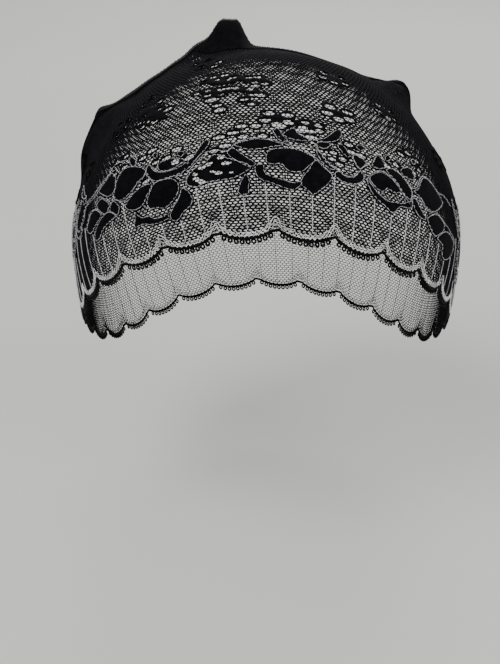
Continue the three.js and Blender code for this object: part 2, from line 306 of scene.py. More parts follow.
LEFT_PETALS = {
    "high petal": (
        (-49.5, 40.5), (-47, 42), (-44, 41.6), (-39, 38.6), (-37, 35.6), (-38.5, 33.6), (-41, 32.3),
        (-42.8, 30.5), (-45.5, 29), (-48.7, 28), (-52, 29), (-53.5, 31.5), (-52.3, 34.8), (-51.3, 38)),
    "middle petal": (
        (-35.5, 29), (-36.2, 26.7), (-38.2, 24.5), (-39.6, 22.3), (-42.5, 21), (-45.5, 21.8), (-48, 24),
        (-46.3, 26.2), (-43, 28.4), (-39, 29.6)),
    "large petal": (
        (-34.6, 28.6), (-31.5, 29), (-28, 28.3), (-26, 26), (-25.8, 23.6), (-26.8, 21), (-29, 18.8),
        (-32, 17.2), (-34.5, 18.4), (-37.4, 19), (-38.4, 21.6), (-37.5, 24), (-36, 26.4)),
    "end petal": (
        (-24.5, 23), (-22.6, 20.5), (-22, 17.2), (-23.4, 15), (-25.8, 13.6), (-27.5, 11.8), (-29.2, 11),
        (-30.6, 12.4), (-30.4, 14.2), (-28.8, 16.6), (-26.6, 19), (-25.6, 21.2)),
    "sepal": (
        (-44, 19.5), (-41.5, 16.7), (-38.6, 16.4), (-36.8, 14.6), (-33.5, 14.2), (-31.5, 14.6),
        (-31.5, 13), (-34.5, 12.4), (-38.5, 12.8), (-41.5, 14.2), (-45.5, 14.4), (-44.6, 17.3)),
    "round petal": (
        (-64.5, 33.3), (-61.2, 34), (-58.8, 32), (-56.6, 29.2), (-57.4, 27), (-59.5, 26), (-62, 28),
        (-64.8, 31)),
    "small petal": (
        (-55.5, 28.8), (-53.6, 29.3), (-52, 27.5), (-51, 25), (-52.4, 22.6), (-54.2, 24), (-56.3, 26)),
    "side petal": (
        (-70.5, 30.3), (-67.5, 31), (-64.6, 29.6), (-62.3, 26.8), (-65, 25), (-68, 23.8), (-70.4, 22.3),
        (-73.2, 22.5), (-75.3, 25), (-73.5, 27.8)),
    "side leaf": (
        (-58, 26), (-55, 24.6), (-53.6, 22.4), (-57, 21.8), (-60.5, 21), (-63.5, 19.4), (-66, 17.5),
        (-69.5, 18.3), (-68, 21.5), (-64.5, 24.2), (-60.5, 25.8)),
    "bowl leaf": (
        (-35.5, 38.6), (-34.6, 36), (-33, 33.6), (-30, 32.2), (-26, 32), (-22.5, 33.3), (-19.6, 35.6),
        (-17.4, 38.8), (-15.2, 42), (-14, 40.6), (-15.4, 37.8), (-17.5, 35.2), (-19.5, 32.8),
        (-21.2, 31), (-23.5, 29.8), (-26, 29.2), (-30, 28.9), (-33.5, 29.6), (-36, 32), (-37, 35.4)),
    "bowl": (
        (-32, 36.8), (-29, 37.6), (-27.4, 37.6), (-23.8, 36), (-22.6, 34.3), (-25, 33.2), (-28, 32.3),
        (-31.5, 33.6)),
    "top leaf": ((-44.5, 46), (-43, 46.2), (-41.4, 43.6), (-41.5, 41.2), (-43, 41.3), (-44.2, 44)),
    "shaded side": (
        (-55.5, 44), (-52.2, 41), (-52, 35.8), (-53.5, 33.4), (-56.5, 33), (-59.5, 35), (-63.3, 38.4),
        (-61, 40.3), (-58, 42)),
    "left dot": ((-33, 43), (-32, 41.5), (-33, 40.2), (-33.8, 42)),
    "right dot": ((-23.6, 39.6), (-22.4, 38.2), (-23.6, 36.8), (-25, 38.8)),
}
RIGHT_PETALS = {
    "upper leaf": (
        (18, 41), (21, 42.6), (22.8, 44.8), (25, 47.8), (26.6, 48.8), (26.7, 46), (25, 42.8),
        (22.5, 41.3), (20.5, 40.7)),
    "seed": ((18, 39), (19.5, 40.4), (22, 40.8), (22.6, 39.8), (21, 37.7), (19.4, 37.6)),
    "narrow leaf": ((25, 40.5), (26.6, 41.4), (27.8, 39.4), (29, 37), (28, 36.2), (26.4, 37.6)),
    "arc leaf": (
        (18, 36), (19.5, 34.8), (21.2, 31.8), (23.6, 29.5), (22.4, 28.9), (20.4, 30.2), (18.9, 32.6)),
    "drop": ((30, 37.2), (32, 38.2), (34.5, 36), (33, 33.2), (31.6, 32.2), (30.6, 34.4)),
    "crown leaf": (
        (37, 36.5), (38.8, 40.8), (40, 41.6), (41.6, 39.4), (42.6, 37.5), (40, 35.7), (37.6, 35.2)),
    "crescent": (
        (23.4, 27.2), (25, 28.8), (27, 27.3), (30, 28), (32, 31.2), (33.3, 30.8), (33.4, 28.4),
        (31.6, 26), (29, 24.9), (26.5, 24.9), (24.5, 25.6)),
    "large petal": (
        (35.6, 29.5), (37, 31.8), (40, 34), (43, 33.7), (46.3, 32), (48.6, 29.4), (45.5, 27.6),
        (42.6, 28.2), (41.4, 26.6), (39.6, 26), (37.5, 27), (36, 28.4)),
    "outer petal": (
        (42.5, 36), (44.5, 37.8), (47, 37.6), (50, 36), (53.4, 33), (54.2, 30.6), (53.4, 28), (51, 28.2),
        (48.6, 30.4), (46.4, 33), (44, 34.6)),
    "sepal": (
        (34.6, 28.4), (36.8, 26.6), (38.8, 24.6), (42.5, 23), (45.7, 23.6), (50, 24.8), (53.8, 27.4),
        (54.2, 25.2), (52, 23.8), (48.5, 23), (45.4, 19.2), (42.4, 20.3), (38.4, 22.2), (36, 24.6)),
    "stem leaf": (
        (54.2, 28.2), (56.4, 29.4), (58, 27.4), (60.4, 25.4), (62.8, 23.6), (60.5, 22.8), (57.5, 23.2),
        (55.5, 25.6)),
    "corner petal": (
        (55.4, 32.4), (58, 34.4), (60.6, 39.8), (63.5, 41.9), (67.5, 41.3), (71.5, 39), (75.6, 36.8),
        (75.6, 34.4), (70.4, 30), (66, 28.2), (61.6, 29), (58.8, 31.2)),
    "side bud": ((63.7, 24.2), (70.3, 28.3), (76.6, 27), (76.8, 24), (73, 21), (69.6, 19.2), (66.2, 21)),
    "side petal": (
        (71.8, 19), (78.5, 24), (86, 24.4), (90.4, 21.3), (86.6, 16), (81, 13.4), (77.4, 14.6), (77, 18)),
    "corner leaf": ((49.6, 39.6), (53.4, 42.3), (56.4, 41), (55.6, 37.6), (52.6, 36.8), (49.9, 37.4)),
    "left dot": ((31.4, 42), (33, 43.8), (34.6, 42.8), (33, 41)),
    "right dot": ((42.4, 41.8), (44, 43.8), (45, 42.4), (43.2, 40.6)),
    "far dot": ((55.6, 46.6), (57.4, 48.2), (58.8, 47.4), (56.8, 45.4)),
}

# Grey threads that run on past the petals.
ROSE_THREADS = {
    "foot": ((-9, 15.5), (-4.7, 15.7), (3, 15.9), (11.8, 15.8)),
    "inner arc": ((18, 37.5), (19.5, 34.7), (21, 31.4), (24.2, 29.4)),
    "outer arc": ((14.5, 35.6), (18, 32.4), (20.5, 29.2), (22.6, 26.5)),
    "leaf vein": (
        (-9, 35), (-14, 36.5), (-17.8, 33.6), (-22, 29), (-22.8, 26), (-22.6, 23.5), (-18, 21.6),
        (-12, 22.4)),
    "top line": ((-8.5, 35.5), (-5.5, 38.6), (-1, 40.4), (4, 40), (9, 37.6), (16.4, 36.4)),
    "star left": ((6, 42), (8, 40), (10.4, 38)),
    "star right": ((13, 43.6), (16, 40.8), (18, 38.6), (19, 36)),
}
LEFT_THREADS = {
    "long side": (
        (-76, 37.6), (-68, 39), (-63.5, 41), (-59, 42.7), (-55.5, 45), (-53.5, 47), (-50, 47.4),
        (-46.4, 46.6)),
    "long side twin": ((-77, 36.2), (-68, 37.4), (-62.6, 39.6), (-57.8, 42), (-54.6, 44)),
    "wave": (
        (-67, 34), (-63.5, 35.8), (-59, 32.8), (-55.6, 28.8), (-53.5, 31.5), (-51, 28.2), (-48, 27.2),
        (-44.5, 28.8), (-42.5, 31.2), (-39, 33), (-37, 35.4), (-36, 32.5), (-34.5, 28.7)),
    "low wave": (
        (-76, 26), (-74, 28.5), (-71.8, 31.5), (-66.5, 31.2), (-63.5, 28.6), (-60.5, 26.2),
        (-56.5, 26.2), (-54, 23.4), (-52.4, 20.6)),
    "branch": (
        (-34.5, 28.7), (-31.5, 29.4), (-28, 29.3), (-26, 28.8), (-23.5, 29.7), (-21.8, 33), (-18.6, 33.2)),
    "loop": ((-41.5, 40.7), (-41, 44), (-42, 46.4), (-44, 47)),
    "bowl line": ((-34.5, 37), (-33.5, 34.6), (-31.5, 33.2), (-29, 32.4), (-26.5, 32.6), (-23, 34.4)),
}
RIGHT_THREADS = {
    "crescent line": (
        (22.6, 26.5), (25, 29.2), (27, 27.7), (30, 28.5), (32, 31.8), (30.6, 34.5), (29.6, 37.6),
        (32, 38.8), (34.8, 35.6), (32.4, 32), (33.8, 28.5), (31, 25.2), (26.5, 24.3), (23.4, 26.4)),
    "leaf line": ((34.5, 35.4), (37, 36), (38.8, 41.4), (41, 42.2), (43.2, 37.4)),
    "petal line": (
        (34.4, 28.5), (37, 32.4), (40, 34.6), (44, 34.2), (49.5, 29.2), (52.5, 26.6), (54.2, 24.8)),
    "outer line": ((45.5, 38), (50, 36.8), (54, 33), (54.4, 30), (53.6, 27.4)),
    "corner line": (
        (54, 33.2), (57.5, 35), (60.5, 40.8), (64, 42.6), (68, 41.8), (73, 39.2), (80, 39.8), (88, 38)),
    "under line": ((54, 29.8), (58, 30.8), (61, 28.8), (66.5, 27.8), (74, 32.6)),
    "side line": ((63.5, 24), (70.5, 29), (78, 27.6), (88, 25.6), (97, 23)),
}


def eyelet_rows(*rows):
    """Eyelets from rows of along, height, length, width and, where it is turned, angle."""
    return tuple(Eyelet(*row) for row in rows)


ROSE_EYELETS = eyelet_rows(
    (-3.9, 46.8, 3.2, 1.5), (0.4, 46.4, 2.8, 1.4), (7.8, 46.4, 3.2, 1.6), (-11, 42.4, 3.2, 1.4),
    (-6.6, 43.8, 3, 1.4), (-3.6, 41.4, 2.8, 1.2), (2.2, 41.4, 2.6, 1.2), (-9.4, 37.8, 3.2, 1.3),
    (-13, 36.2, 2.4, 1.2), (14.1, 45, 3, 1.5), (17, 42.2, 3.2, 1.6), (-11, 32.9, 2, 1.3, 20),
    (-9.6, 29.9, 2.6, 1.2), (-14.9, 30.7, 1.8, 1.1, 20), (-17.4, 29.7, 2.2, 1.1, 20),
    (-19.8, 27.6, 1.2, 1.1), (-19.8, 25.3, 1.8, 1.2, -20), (-18, 23.7, 1.8, 1.2, -20),
    (-14.2, 27.2, 1.2, 0.8, -20), (-12.4, 26.2, 2, 0.9, -10), (-8.4, 25.6, 1.1, 0.7))
LEFT_EYELETS = eyelet_rows(
    (-34.5, 45.3, 3.2, 1.5), (-25.1, 41.3, 3.2, 1.4), (-38.6, 43.3, 2.6, 1.4), (-29, 38.6, 2.6, 1.4),
    (-26, 35.4, 2.6, 1.7), (-21, 35.6, 3, 1.3, 20), (-33.2, 38.4, 2.2, 1.4), (-52, 48.4, 3, 1.5),
    (-47.2, 48.9, 2.6, 1.4), (-47.4, 43.4, 2.4, 1.4), (-37.7, 31.2, 2.8, 1.4, 20), (-53.2, 42.4, 2, 1.3))
RIGHT_EYELETS = eyelet_rows(
    (29, 42.6, 2.6, 1.3), (29.6, 39, 2.6, 1.3), (33.2, 38.6, 2.8, 1.5), (51, 47.9, 3, 1.6),
    (55.4, 50.6, 3, 1.6), (60.6, 49, 2.8, 1.6), (60.6, 44.6, 2.6, 1.5), (57.3, 41, 2.2, 1.5),
    (47.6, 41, 2.6, 1.3), (43.3, 38.4, 2.6, 1.3), (75.3, 43, 2.4, 1.8), (22.9, 33.6, 2, 1),
    (26.5, 34.6, 2, 1), (25.2, 31.9, 2.2, 1), (23.5, 36.8, 1.8, 1))

# The crown's dark leaves, and the row of holes along each.
CROWN_PETALS = (
    Form(-8.2, 80.2, 14, 9, 0, 0, 0.7),
    Form(2.3, 76.2, 12, 6.5, -26, 0, 0.8),
    Form(-7, 68, 22, 2.6, -10, 2.2, 0.8),
    Form(-37.6, 71, 21, 8.5, -32, 0, 0.7),
    Form(-33.5, 65.4, 14, 3, -38, 0, 0.8),
)
CROWN_EYELETS = eyelet_rows(
    (-12.6, 84.8, 2, 1.3), (-8.6, 84.7, 2.6, 1.4), (-5.3, 81.2, 2, 1.1), (-7.1, 79.8, 1.6, 1),
    (-11, 81.4, 1.4, 1), (-15.7, 82.3, 1.4, 1), (0, 79.7, 2.6, 1.1), (3.1, 79.3, 2, 1.1),
    (1.6, 75, 2, 1), (4.9, 73.5, 2, 1.2), (1.6, 71.9, 2.4, 1.3), (0, 69.7, 2, 1.1),
    (-14.1, 73.3, 2, 1.2), (-9.6, 71.9, 2.2, 1.3), (-7, 71.9, 1.8, 1.1), (-4.6, 71.5, 1.8, 1.1),
    (-18, 72.8, 1.8, 1.1), (-14.1, 69.4, 2, 1.1), (-9.4, 68.3, 2, 1), (-12.6, 65.4, 4.2, 2),
    (0.6, 65.6, 2.4, 1.4), (3.2, 65, 2.6, 1.5), (-2.4, 62.8, 2.4, 1.2), (0, 59.4, 2.4, 1.2),
    (-11, 60.9, 2.6, 1.2), (-10.2, 57.7, 3.4, 2), (-33.7, 78.2, 2.4, 1.8), (-43.9, 82.2, 2.4, 1.6),
    (-40.8, 87, 1.8, 1.2), (-29, 67.9, 3.6, 1.8), (-32.9, 71, 1.8, 1.2), (-44.7, 76.8, 1.6, 1.2),
    (-40, 69.9, 1.8, 1.2), (-34.5, 62.6, 2.8, 1.6), (-37.7, 64.4, 1.8, 1.2), (-42.4, 66.5, 2, 1.2),
    (-40, 62.6, 1.8, 1.2), (-24.3, 114, 2.8, 2.4), (-18, 115.5, 3, 2.4), (-11.8, 105, 3, 2.4),
    (-19.6, 104, 3, 2.4), (-13.3, 99.8, 3, 2.2))

# Five-hole flowers of the crown: middle, spread of the holes and size of each hole.
Flower = namedtuple("Flower", "along height spread hole")
FLOWERS = (
    Flower(27.4, 58.8, 4.2, 3.2),
    Flower(7.2, 50.8, 3.9, 3.0),
    Flower(17.4, 47.6, 2.8, 2.2),
    Flower(50.6, 71.8, 4.6, 2.8),
    Flower(31, 87.4, 5, 3.0),
    Flower(-56.6, 72.6, 5.2, 2.8),
    Flower(-84, 57, 4.6, 2.8),
    Flower(88, 60, 4.4, 2.8),
    Flower(112, 66, 4.4, 2.8),
    Flower(-112, 64, 4.4, 2.8),
)
FLOWER_ANGLES = (128, 34, 200, 326, 264)


def smooth_line(points, closed, steps=4):
    """A smooth line through places."""
    line = np.array(points, float)
    if closed:
        padded = np.concatenate([line[-1:], line, line[:2]])
    else:
        padded = np.concatenate([2 * line[:1] - line[1:2], line, 2 * line[-1:] - line[-2:-1]])
    a, b, c, d = (padded[first:len(padded) - 3 + first][:, None] for first in range(4))
    part = (np.arange(steps) / steps)[None, :, None]
    bend = 2 * a - 5 * b + 4 * c - d + part * (3 * (b - c) + d - a)
    smooth = (b + 0.5 * part * (c - a + part * bend)).reshape(-1, 2)
    return smooth if closed else np.concatenate([smooth, line[-1:]])


def mirror_line(line, middle):
    """The same line, mirrored left to right about a place along the hem."""
    return np.stack([2 * middle - line[:, 0], line[:, 1]], -1)[::-1]


# The side motifs repeat the left and right ones, mirrored about these places along the hem.
LEFT_MIRROR = 38
RIGHT_MIRROR = -29

# Holes high on the crown are pulled taller, up the cap.
PULL = dict(above=55, over=40, most=0.8)

# A flower is flatter than round, its holes are narrower than long, and its heart is a share of its spread.
FLOWER_FLATTER = 0.9
HOLE_NARROWER = 0.62
HEART = dict(length=1.3, width=0.75, angle=-10, blunt=0.9)


def pattern_lines(left, middle, right, closed):
    """Smooth lines for all motifs round the cap."""
    left, middle, right = (
        [smooth_line(points, closed) for points in motif.values()] for motif in (left, middle, right))
    sides = [mirror_line(line, LEFT_MIRROR) for line in left]
    sides += [mirror_line(line, RIGHT_MIRROR) for line in right]
    return left + middle + right + sides


def pulled_taller(eyelet):
    share = min(max((eyelet.height - PULL["above"]) / PULL["over"], 0), 1)
    return eyelet._replace(width=eyelet.width * (1 + PULL["most"] * share))


def flower_hole(flower, angle):
    return Eyelet(
        flower.along + flower.spread * math.cos(angle),
        flower.height + FLOWER_FLATTER * flower.spread * math.sin(angle),
        flower.hole, flower.hole * HOLE_NARROWER)


def pattern_eyelets():
    eyelets = list(ROSE_EYELETS + LEFT_EYELETS + RIGHT_EYELETS)
    eyelets += [pulled_taller(eyelet) for eyelet in CROWN_EYELETS]
    for rows, middle in ((LEFT_EYELETS, LEFT_MIRROR), (RIGHT_EYELETS, RIGHT_MIRROR)):
        eyelets += [row._replace(along=2 * middle - row.along, angle=-row.angle) for row in rows]
    for flower in FLOWERS:
        eyelets += [pulled_taller(flower_hole(flower, angle * DEGREE)) for angle in FLOWER_ANGLES]
    return eyelets


def crown_forms():
    hearts = [
        Form(flower.along, flower.height, flower.spread * HEART["length"], flower.spread * HEART["width"],
             HEART["angle"], 0, HEART["blunt"])
        for flower in FLOWERS]
    return list(CROWN_PETALS) + hearts


PETALS = pattern_lines(LEFT_PETALS, ROSE_PETALS, RIGHT_PETALS, True)
THREADS = pattern_lines(LEFT_THREADS, ROSE_THREADS, RIGHT_THREADS, False)
EYELETS = pattern_eyelets()
CROWN_FORMS = crown_forms()


def petal_field(ring, along, height):
    """How far inside a ring of places each place lies, in millimetres, and negative outside."""
    nearest = np.full(along.shape, 1e6)
    inside = np.zeros(along.shape, bool)
    for (x, y), (next_x, next_y) in zip(ring, np.roll(ring, -1, 0)):
        run, climb = next_x - x, next_y - y
        part = np.clip(((along - x) * run + (height - y) * climb) / (run * run + climb * climb), 0, 1)
        nearest = np.minimum(nearest, (along - x - part * run) ** 2 + (height - y - part * climb) ** 2)
        crosses = (y > height) != (next_y > height)
        inside ^= crosses & (along < x + (height - y) * run / (climb or 1e-9))
    return np.where(inside, 1, -1) * np.sqrt(nearest)


def near_ring(ring, along, height, margin):
    low, high = ring.min(0) - margin, ring.max(0) + margin
    return (along > low[0]) & (along < high[0]) & (height > low[1]) & (height < high[1])


def local_place(form, along, height):
    """Places in the form's own directions: along its spine and across it."""
    cosine, sine = math.cos(form.angle * DEGREE), math.sin(form.angle * DEGREE)
    x = (along - form.along) * cosine + (height - form.height) * sine
    y = -(along - form.along) * sine + (height - form.height) * cosine
    return x, y


def form_field(form, along, height):
    x, y = local_place(form, along, height)
    reach = 2 * x / form.length
    y = y - form.bend * (1 - reach ** 2)
    half = form.width / 2 * np.maximum(1 - reach ** 2, 0) ** form.blunt
    return half - np.abs(y) - np.maximum(np.abs(x) - form.length / 2, 0)


def eyelet_field(eyelet, along, height, grow, grow_across):
    x, y = local_place(eyelet, along, height)
    half_length = eyelet.length / 2 + grow
    half_width = eyelet.width / 2 + grow_across
    return (1 - np.hypot(x / half_length, y / half_width)) * min(half_length, half_width)


def near(form, along, height, margin):
    """The places within reach of a form, as a mask."""
    reach = form.length / 2 + form.width / 2 + margin
    return (np.abs(along - form.along) < reach) & (np.abs(height - form.height) < reach)


# How far petals, holes and the borders round holes grow, in millimetres.
PETAL_GROW = 0.4
EYELET_GROW = 0.35
BAND_BORDER = 0.7
CROWN_BORDER = 0.9
FAR_OUTSIDE = -9.0

# The gathered cloth, as depths below the seam, and the part of it that lies behind the corners.
GATHER = dict(seam=3.2, tip=13, tip_at=-1, tip_flat=5, tip_fall=6, corner=16, corner_fall=13, rear_share=0.3)


def gather_field(along, height):
    """The gathered cloth at the tip and at both corners, which lies double and shows no holes."""
    turn = turn_at(along)
    aside = CROWN_RADIUS * (seam_angle(turn) - TIP["angle"] * DEGREE) - GATHER["tip_at"]
    tip = GATHER["tip"] * bell(np.maximum(np.abs(aside) - GATHER["tip_flat"], 0), GATHER["tip_fall"])
    corner = GATHER["corner"] * bell(np.abs(mirrored_turn(turn)) / DEGREE - 90, GATHER["corner_fall"])
    corner = np.where(np.abs(turn) > math.pi / 2, GATHER["rear_share"] * corner, corner)
    depth = np.maximum(np.maximum(tip, GATHER["seam"]), corner)
    return depth - (rib_length(turn) - height)


def dense_field(along, height):
    """How far inside the dense cloth each place lies: petals, eyelet borders and gathers."""
    field = gather_field(along, height)
    for ring in PETALS:
        mask = near_ring(ring, along, height, 2)
        field[mask] = np.maximum(field[mask], petal_field(ring, along[mask], height[mask]) + PETAL_GROW)
    for form in CROWN_FORMS:
        mask = near(form, along, height, 1)
        field[mask] = np.maximum(field[mask], form_field(form, along[mask], height[mask]))
    for eyelet in EYELETS:
        mask = near(eyelet, along, height, 3)
        border = EYELET_GROW + (CROWN_BORDER if eyelet.height > BAND_HEIGHT else BAND_BORDER)
        inside = eyelet_field(eyelet, along[mask], height[mask], border, border)
        field[mask] = np.maximum(field[mask], inside)
    for eyelet in EYELETS:
        mask = near(eyelet, along, height, 3)
        inside = eyelet_field(eyelet, along[mask], height[mask], EYELET_GROW, EYELET_GROW)
        field[mask] = np.minimum(field[mask], -inside)
    return field


def hole_field(along, height, grow, grow_across):
    """How far inside an open eyelet each place lies."""
    field = np.full(along.shape, FAR_OUTSIDE)
    for eyelet in EYELETS:
        mask = near(eyelet, along, height, 3)
        inside = eyelet_field(eyelet, along[mask], height[mask], grow, grow_across)
        field[mask] = np.maximum(field[mask], inside)
    return field


# Materials.


# The matt black thread hardly shines.
THREAD_GLOSS = 0.02
SHEEN_ROUGHNESS = 0.4

# Cloudy changes of colour, and the ridges of the twisted thread, with their depth in metres.
CLOUDS = dict(scale=420, detail=4, dark_at=0.35, light_at=0.65)
RIDGES = dict(distortion=3, detail=2, strength=0.6, depth=0.0001)


def new_material(name, colour, roughness, sheen=0.0, gloss=THREAD_GLOSS):
    material = bpy.data.materials.new(name)
    material.use_nodes = True
    shader = material.node_tree.nodes["Principled BSDF"]
    shader.inputs["Base Color"].default_value = (*colour, 1)
    shader.inputs["Roughness"].default_value = roughness
    shader.inputs["Specular IOR Level"].default_value = gloss
    shader.inputs["Sheen Weight"].default_value = sheen
    shader.inputs["Sheen Roughness"].default_value = SHEEN_ROUGHNESS
    return material, shader


def object_coordinates(material):
    """Object coordinates, as the start of a pattern."""
    return material.node_tree.nodes.new("ShaderNodeTexCoord").outputs["Object"]


def vary_colour(material, shader, vector, scale, dark, light):
    """Cloudy change of colour between two tones."""
    nodes, links = material.node_tree.nodes, material.node_tree.links
    noise = nodes.new("ShaderNodeTexNoise")
    noise.inputs["Scale"].default_value = scale
    noise.inputs["Detail"].default_value = CLOUDS["detail"]
    ramp = nodes.new("ShaderNodeValToRGB")
    places = CLOUDS["dark_at"], CLOUDS["light_at"]
    for element, place, tone in zip(ramp.color_ramp.elements, places, (dark, light)):
        element.position = place
        element.color = (*tone, 1)
    links.new(vector, noise.inputs["Vector"])
    links.new(noise.outputs["Fac"], ramp.inputs["Fac"])
    links.new(ramp.outputs["Color"], shader.inputs["Base Color"])


def thread_bump(material, shader, vector, scale):
    """Fine ridges of twisted thread as bump."""
    nodes, links = material.node_tree.nodes, material.node_tree.links
    wave = nodes.new("ShaderNodeTexWave")
    wave.wave_type = "BANDS"
    wave.bands_direction = "DIAGONAL"
    wave.inputs["Scale"].default_value = scale
    wave.inputs["Distortion"].default_value = RIDGES["distortion"]
    wave.inputs["Detail"].default_value = RIDGES["detail"]
    bump = nodes.new("ShaderNodeBump")
    bump.inputs["Strength"].default_value = RIDGES["strength"]
    bump.inputs["Distance"].default_value = RIDGES["depth"]
    links.new(vector, wave.inputs["Vector"])
    links.new(wave.outputs["Fac"], bump.inputs["Height"])
    links.new(bump.outputs["Normal"], shader.inputs["Normal"])


def thread_material(name, colour, contrast, roughness, sheen, ridge_scale, gloss=THREAD_GLOSS):
    """A thread's material. Its colour changes by the contrast to either side."""
    material, shader = new_material(name, colour, roughness, sheen, gloss)
    vector = object_coordinates(material)
    dark = tuple(value * (1 - contrast) for value in colour)
    light = tuple(value * (1 + contrast) for value in colour)
    vary_colour(material, shader, vector, CLOUDS["scale"], dark, light)
    thread_bump(material, shader, vector, ridge_scale)
    return material


# Tools for making pieces.


def deselect_all():
    if bpy.context.object and bpy.context.object.mode != "OBJECT":
        bpy.ops.object.mode_set(mode="OBJECT")
    bpy.ops.object.select_all(action="DESELECT")


def add_object(name, data):
    """A new object in the scene, the only one selected, and active."""
    deselect_all()
    piece = bpy.data.objects.new(name, data)
    bpy.context.scene.collection.objects.link(piece)
    piece.select_set(True)
    bpy.context.view_layer.objects.active = piece
    return piece


def thicken(piece, thickness):
    """Gives a sheet its thickness, half to each side."""
    solidify = piece.modifiers.new("thickness", "SOLIDIFY")
    solidify.thickness = thickness
    solidify.offset = 0
    bpy.ops.object.modifier_apply(modifier=solidify.name)


def edit_mode(piece, kind):
    bpy.context.view_layer.objects.active = piece
    bpy.context.tool_settings.mesh_select_mode = tuple(kind == each for each in ("VERT", "EDGE", "FACE"))
    bpy.ops.object.mode_set(mode="EDIT")


def object_mode():
    bpy.ops.object.mode_set(mode="OBJECT")


def read_points(mesh):
    flat = np.empty(len(mesh.vertices) * 3)
    mesh.vertices.foreach_get("co", flat)
    return flat.reshape(-1, 3)


def write_points(mesh, points):
    mesh.vertices.foreach_set("co", np.ascontiguousarray(points, dtype=np.float32).ravel())
    mesh.update()


def read_faces(mesh):
    """Sizes of the faces, their first corners, and the vertices of all corners."""
    sizes = np.empty(len(mesh.polygons), int)
    starts = np.empty(len(mesh.polygons), int)
    corners = np.empty(len(mesh.loops), int)
    mesh.polygons.foreach_get("loop_total", sizes)
    mesh.polygons.foreach_get("loop_start", starts)
    mesh.loops.foreach_get("vertex_index", corners)
    return sizes, starts, corners


def read_ends(mesh):
    """The two vertices of each edge."""
    ends = np.empty(len(mesh.edges) * 2, int)
    mesh.edges.foreach_get("vertices", ends)
    return ends.reshape(-1, 2)


def select_elements(mesh, elements, chosen):
    """Selects only these vertices, edges or faces."""
    for group in (mesh.vertices, mesh.edges, mesh.polygons):
        group.foreach_set("select", np.zeros(len(group), bool))
    elements.foreach_set("select", chosen)


def finish_piece(piece, name, material, nodes=()):
    """Names a piece, gives it its material and slot, and lets it take the place of its solids."""
    piece.name = name
    piece.data.name = name
    piece.data.materials.clear()
    piece.data.materials.append(material)
    piece.data.polygons.foreach_set("use_smooth", np.ones(len(piece.data.polygons), bool))
    piece.data.update()
    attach(piece, "root")
    if nodes:
        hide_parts(*nodes)
    return piece


def thread_piece(name, paths, radius, material, closed=False, twist=0.0):
    """Round threads along paths of points, made as one bevelled curve and turned into a mesh.

    Twist is how much every other point is thinner, as in a stitched line.
    """
    curve = bpy.data.curves.new(name, "CURVE")
    curve.dimensions = "3D"
    curve.bevel_depth = radius * MM
    curve.bevel_resolution = 0
    curve.use_fill_caps = True
    for points in paths:
        spline = curve.splines.new("POLY")
        spline.points.add(len(points) - 1)
        four = np.ones((len(points), 4))
        four[:, :3] = points
        spline.points.foreach_set("co", four.ravel())
        spline.points.foreach_set("radius", 1 - twist * (np.arange(len(points)) % 2))
        spline.use_cyclic_u = closed
    add_object(name, curve)
    bpy.ops.object.convert(target="MESH")
    return finish_piece(bpy.context.object, name, material)


# The net: a flat honeycomb sheet of columns and rows, opened and laid on the cloth. The three sectors go
# from their first column to their last, and a stripe runs up every fourth column.

COLUMNS = 312
START_ALONG = 1.5
COLUMN = HEM_LENGTH / COLUMNS
HALF_COLUMN = COLUMN / 2
STRIPE_EVERY = 4
SECTORS = (("front", -52, 52), ("right", 52, 156), ("left", 156, 260))
BAND_ROWS = 44
ROW_PITCH = BAND_HEIGHT / BAND_ROWS
CROWN_ROWS = 60
CROWN_GROWTH = 0.36
ZIGZAG = 0.15

# Width of the upright and the lying strands, half their thickness, and how far the net lies in the cloth.
BAND_STRAND = (0.66, 0.5)
CROWN_STRAND = (0.8, 0.68)
TOP_THICKER = 0.45
STRAND_LIFT = 0.21
NET_OFFSET = -0.35

# The rear strands are thinner, from this turn on, over this turn.
REAR = dict(thinner=0.5, after=95, over=40)

# The least and the most that a cell is open across and upwards, as shares.
OPEN_WIDE = (0.12, 0.85)
OPEN_TALL = (0.15, 0.85)

# A cell gives way to dense cloth this deep over it, and to eyelets that are grown by this much.
UNDER_CLOTH = 1.25
BESIDE_EYELET = (0.95, 0.7)

# The scallops fade out over this many band rows.
SCALLOP_ROWS = 12
SCALLOP_FADE = 1.5

Net = namedtuple("Net", "first columns rows height_of strand thicker")


def column_turn(column):
    return turn_at(START_ALONG + column * COLUMN)


def band_height(turn, row):
    """Height of a band row. The lowest rows follow the scallops."""
    fade = np.maximum(1 - row / SCALLOP_ROWS, 0) ** SCALLOP_FADE
    return row * BAND_HEIGHT / BAND_ROWS + scallop_edge(turn) * fade


def crown_height(turn, row):
    """Height of a crown row. The rows widen towards the seam."""
    share = row / CROWN_ROWS
    grown = share * (1 - CROWN_GROWTH / 2) + CROWN_GROWTH / 2 * share ** 2
    return BAND_HEIGHT + (rib_length(turn) - BAND_HEIGHT) * grown


def zigzag_grid(net):
    """A flat grid whose lines zigzag, and the half column and the line of each of its vertices."""
    halves = 2 * net.columns + 1
    deselect_all()
    bpy.ops.mesh.primitive_grid_add(x_subdivisions=halves, y_subdivisions=net.rows, size=1)
    piece = bpy.context.object
    points = read_points(piece.data)
    across = np.rint((points[:, 0] + 0.5) * halves).astype(int)
    line = np.rint((points[:, 1] + 0.5) * net.rows).astype(int)
    raised = np.where((across - line) % 2 == 0, ZIGZAG, -ZIGZAG)
    write_points(piece.data, np.stack([across * HALF_COLUMN, (line + raised) * ROW_PITCH, 0 * across], -1))
    return piece, across, line


